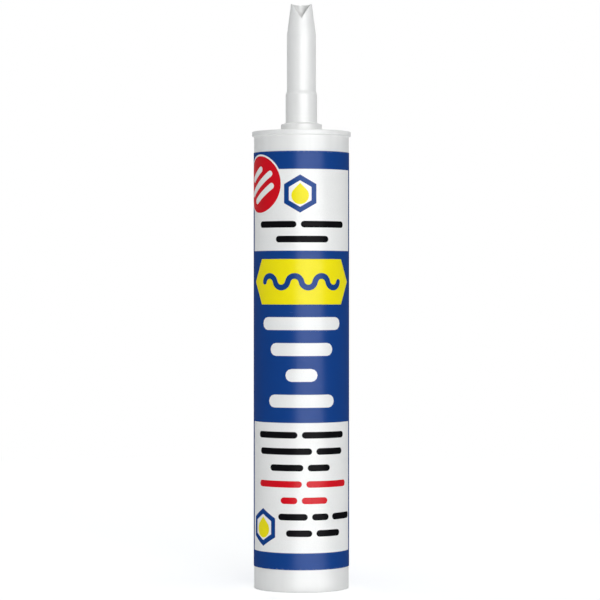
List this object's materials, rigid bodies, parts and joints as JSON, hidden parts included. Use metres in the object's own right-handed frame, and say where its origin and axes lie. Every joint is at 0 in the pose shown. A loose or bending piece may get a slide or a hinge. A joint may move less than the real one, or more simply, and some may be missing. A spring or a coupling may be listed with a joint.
{
  "type": "caulk tube",
  "caption": "Upright screw-nozzle adhesive cartridge: white tube with a blue, white and yellow label, a notched tapered nozzle and a piston in the open rear end.",
  "frame": {"origin": "centre of the rear rim, on the tube's axis, in the plane that the tube stands on", "axes": "+Z along the axis to the nozzle's tip, -Y out of the printed front, +X to the viewer's right"},
  "size_m": [0.0516, 0.0516, 0.3052],
  "materials": {
    "barrel_plastic": "satin white moulded polyethylene",
    "nozzle_plastic": "satin white moulded polyethylene, slightly translucent at the tip",
    "piston_plastic": "natural unpigmented polyethylene",
    "adhesive": "thick smooth paste",
    "ink_blue": "glossy printed film",
    "ink_white": "glossy printed film",
    "ink_yellow": "glossy printed film",
    "ink_red": "glossy printed film",
    "ink_black": "glossy printed film"
  },
  "bodies": {
    "barrel": {"barrel": "barrel_plastic", "adhesive_fill": "adhesive", "label_blue": "ink_blue", "label_white": "ink_white", "label_yellow": "ink_yellow", "label_red": "ink_red", "label_black": "ink_black"},
    "nozzle": {"nozzle": "nozzle_plastic"},
    "piston": {"piston": "piston_plastic"}
  },
  "joints": [
    {"name": "nozzle_lift", "type": "slide", "parent": "barrel", "child": "nozzle", "axis": [0, 0, 1], "range_m": [0, 0.03]},
    {"name": "piston_push", "type": "slide", "parent": "barrel", "child": "piston", "axis": [0, 0, 1], "range_m": [0, 0.2024], "deforming": ["adhesive_fill"]}
  ]
}
